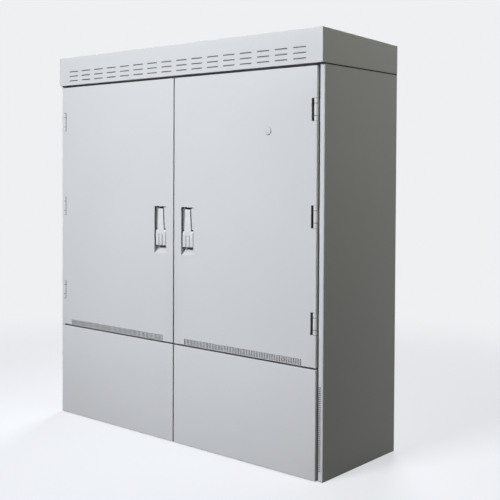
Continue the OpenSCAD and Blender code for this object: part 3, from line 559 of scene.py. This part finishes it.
def add_mats(door_felt, strip_felt):
    """The filter mats, each on the door or the side panel whose vent it covers."""
    for side, sign in SIDES:
        add_boxes(f"{side}_door_mat", [mirrored(*DOOR_MAT, sign)], door_felt, f"{side}_door")
        add_boxes(f"{side}_strip_mat", [mirrored(*STRIP_MAT, sign)], strip_felt, "frame")


def add_hinge_shade_strips(material):
    """Dark rubber strips of painted shade in the hinge cut-outs, three pairs on each door."""
    for side, sign in SIDES:
        blocks = [mirrored(low + (z - HINGE_SHADE_HALF,), high + (z + HINGE_SHADE_HALF,), sign)
                  for z in HINGE_ZS for low, high in HINGE_SHADE_STRIPS]
        add_boxes(f"{side}_hinge_shade_strips", blocks, material, f"{side}_door")


def add_groove_shade(material):
    """Dark strips of painted shade at the bottoms of the two grooves in each grip, which move with the
    lever.
    """
    for side, sign in SIDES:
        middles = [sign * LEVER_X + way * GROOVE_OFF for way in (-1, 1)]
        blocks = [((x - GROOVE_HALF, DOOR_FACE + GROOVE_DEPTHS[0], GROOVE_Z[0]),
                   (x + GROOVE_HALF, DOOR_FACE + GROOVE_DEPTHS[1], GROOVE_Z[1])) for x in middles]
        add_boxes(f"{side}_grip_groove_shade", blocks, material, f"{side}_lever")


def add_cheeks(material):
    """A cheek on the right of each lever, which follows the taper of its neck."""
    for side, sign in SIDES:
        x = sign * LEVER_X
        outline = [(x + LEDGE_INSIDE[0], LEDGE_LOW), (x + LEDGE_OUTSIDE, LEDGE_LOW),
                   (x + LEDGE_OUTSIDE, LEDGE_TOP), (x + LEDGE_INSIDE[1], LEDGE_TOP)]
        cheek = add_prism(f"{side}_dish_cheek", outline, DOOR_FACE + CHEEK_DEEP, DOOR_FACE + LEDGE_DEEP,
                          material, f"{side}_door")
        bevel = cheek.modifiers.new("edges", "BEVEL")
        bevel.width = CHEEK_BEVEL
        bevel.segments = BEVEL_STEPS


def add_shade_pads(material):
    """A dark pad of painted shade on the ledge left of each lever's neck."""
    for side, sign in SIDES:
        x = sign * LEVER_X
        outline = [(x - LEDGE_OUTSIDE, LEDGE_LOW), (x - LEDGE_INSIDE[0], LEDGE_LOW),
                   (x - LEDGE_INSIDE[1], LEDGE_TOP), (x - LEDGE_OUTSIDE, LEDGE_TOP)]
        add_prism(f"{side}_dish_shade_pad", outline, DOOR_FACE + SHADE_PAD_DEEP, DOOR_FACE + LEDGE_DEEP,
                  material, f"{side}_door")


def add_bushes(material):
    """The front of each bush that shows between two knuckles of a hinge."""
    section = ((KNUCKLE_R, BUSH_Z[0]), (BUSH_R, BUSH_Z[0]), (BUSH_R, BUSH_Z[1]), (KNUCKLE_R, BUSH_Z[1]))
    for side, sign in SIDES:
        points, faces = [], []
        for middle in HINGE_ZS:
            for way in (-1, 1):
                first = len(points)
                last = first + 4 * BUSH_STEPS
                for i in range(BUSH_STEPS + 1):
                    t = BUSH_ARC[0] + (BUSH_ARC[1] - BUSH_ARC[0]) * i / BUSH_STEPS
                    points += [(sign * (HINGE_AT[0] + r * math.cos(t)), HINGE_AT[1] + r * math.sin(t),
                                middle + way * z) for r, z in section]
                for a in range(first, last, 4):
                    faces += [(a + k, a + (k + 1) % 4, a + 4 + (k + 1) % 4, a + 4 + k) for k in range(4)]
                faces += [tuple(first + k for k in range(4)), tuple(last + k for k in (3, 2, 1, 0))]
        mesh = bpy.data.meshes.new(f"{side}_hinge_bushes")
        mesh.from_pydata(points, [], faces)
        mesh.materials.append(material)
        bushes = bpy.data.objects.new(f"{side}_hinge_bushes", mesh)
        scene.collection.objects.link(bushes)
        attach(bushes, "frame")


def add_plug_shade_ring(material):
    """A dark rubber ring under the head of the plug, a little off its middle, so that it shows on one side
    as painted shade.
    """
    ring = []
    for i in range(SHADE_RING_STEPS):
        t = 2 * math.pi * i / SHADE_RING_STEPS
        c, d = math.cos(t), math.sin(t)
        along = c * SHADE_RING_OFF[0] + d * SHADE_RING_OFF[1]
        across = c * SHADE_RING_OFF[1] - d * SHADE_RING_OFF[0]
        reach = along + math.sqrt(SHADE_RING_R ** 2 - across ** 2)
        ring.append(((c, d), PLUG_R, max(reach, PLUG_R + SHADE_RING_LEAST)))
    points = [(PLUG_AT[0] + r * u[0], y, PLUG_AT[1] + r * u[1])
              for u, inner, outer in ring
              for y, r in ((DOOR_FACE - SHADE_RING_T, inner), (DOOR_FACE - SHADE_RING_T, outer),
                           (DOOR_FACE, outer), (DOOR_FACE, inner))]
    starts = [4 * i for i in range(SHADE_RING_STEPS)]
    faces = [(a + k, a + (k + 1) % 4, b + (k + 1) % 4, b + k)
             for a, b in zip(starts, starts[1:] + starts[:1]) for k in range(4)]
    mesh = bpy.data.meshes.new("plug_shade_ring")
    mesh.from_pydata(points, [], faces)
    mesh.materials.append(material)
    shade_ring = bpy.data.objects.new("plug_shade_ring", mesh)
    scene.collection.objects.link(shade_ring)
    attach(shade_ring, "right_door")


def dress_nodes(materials, bevels):
    """Each CAD node gets the material of its slot, round folds and soft edges."""
    tree = fold_smoother()
    for part in frame["record"]["subparts"]:
        node = frame["nodes"][part["node"]]
        slot = part["material_slot"]
        node.data.materials.clear()
        node.data.materials.append(materials[slot])
        soften(node, tree, bevels.get(slot, 0.0))


add_camera()
add_lamp("key", KEY_AT, KEY_AIM, KEY_SIZE, KEY_WATTS, KEY_TINT, KEY_SPREAD)
add_lamp("top", TOP_AT, TOP_AIM, TOP_SIZE, TOP_WATTS, KEY_TINT)
add_lamp("fill", FILL_AT, FILL_AIM, FILL_SIZE, FILL_WATTS, FILL_TINT, FILL_SPREAD)
add_lamp("back", BACK_AT, BACK_AIM, BACK_SIZE, BACK_WATTS, KEY_TINT, BACK_SPREAD)
add_sky()
add_floor()

# Each look darkens its gaps and corners with painted shade, of the reach and darkest share given
materials = {
    "paint": powder_paint("paint", grey(0.63, PAINT_TINT), grain=1.1 * MM, depth=0.05 * MM, rough=0.42,
                          gap_shade=(9 * MM, 0.30)),
    "zinc": galvanised("zinc", gap_shade=(60 * MM, 0.18)),
    "steel": plated_steel("steel"),
    "hinge_metal": powder_paint("hinge_metal", grey(0.70, PAINT_TINT), grain=0.7 * MM, depth=0.02 * MM,
                                rough=0.38, gap_shade=(9 * MM, 0.25)),
    "rubber": foam_rubber("rubber"),
    "lever_metal": moulded("lever_metal", grey(0.66, CAST_TINT), grain=0.8 * MM, rough=0.26,
                           gap_shade=(6 * MM, 0.30, GROOVE_RANGE)),
    "dish_plastic": moulded("dish_plastic", grey(0.60, CAST_TINT), grain=0.9 * MM, rough=0.42,
                            gap_shade=(22 * MM, 0.42)),
    "guide_plastic": moulded("guide_plastic", grey(0.035), grain=0.8 * MM, rough=0.50, gap_shade=(9 * MM, 0.6),
                             spread=0.2),
    "copper": bare_copper("copper"),
}
bevels = {
    "paint": 0.35 * MM, "zinc": 0.3 * MM, "steel": 0.2 * MM, "hinge_metal": 0.4 * MM, "rubber": 0.6 * MM,
    "lever_metal": 0.5 * MM, "dish_plastic": 0.5 * MM, "guide_plastic": 0.4 * MM, "copper": 0.5 * MM,
}
dress_nodes(materials, bevels)
add_cheeks(moulded("cheek_paint", grey(0.64, CAST_TINT), grain=0.8 * MM, rough=0.30,
                   gap_shade=(6 * MM, 0.62, GROOVE_RANGE)))
add_bushes(materials["guide_plastic"])
add_mats(felt("door_felt", 0.26), felt("strip_felt", 0.10))
# Dark rubber strips in the hinge cut-outs stand in for the shade there
add_hinge_shade_strips(materials["rubber"])
# Painted shade in the grooves of the grips
add_groove_shade(materials["guide_plastic"])
# A dark pad of painted shade left of each lever's neck
add_shade_pads(moulded("pad_shade", grey(0.22), grain=0.8 * MM, rough=0.60, gap_shade=(9 * MM, 0.6)))
# Painted shade beside the plug of the right door
add_plug_shade_ring(materials["rubber"])

# A fly screen close behind the slots of the hood
screen = ((-SCREEN_HALF, HOOD_INSIDE + SCREEN_GAP, SCREEN_LOW),
          (SCREEN_HALF, HOOD_INSIDE + SCREEN_GAP + SCREEN_THICK, SCREEN_TOP))
add_boxes("fly_screen", [screen], woven_wire("woven_wire"), "frame")
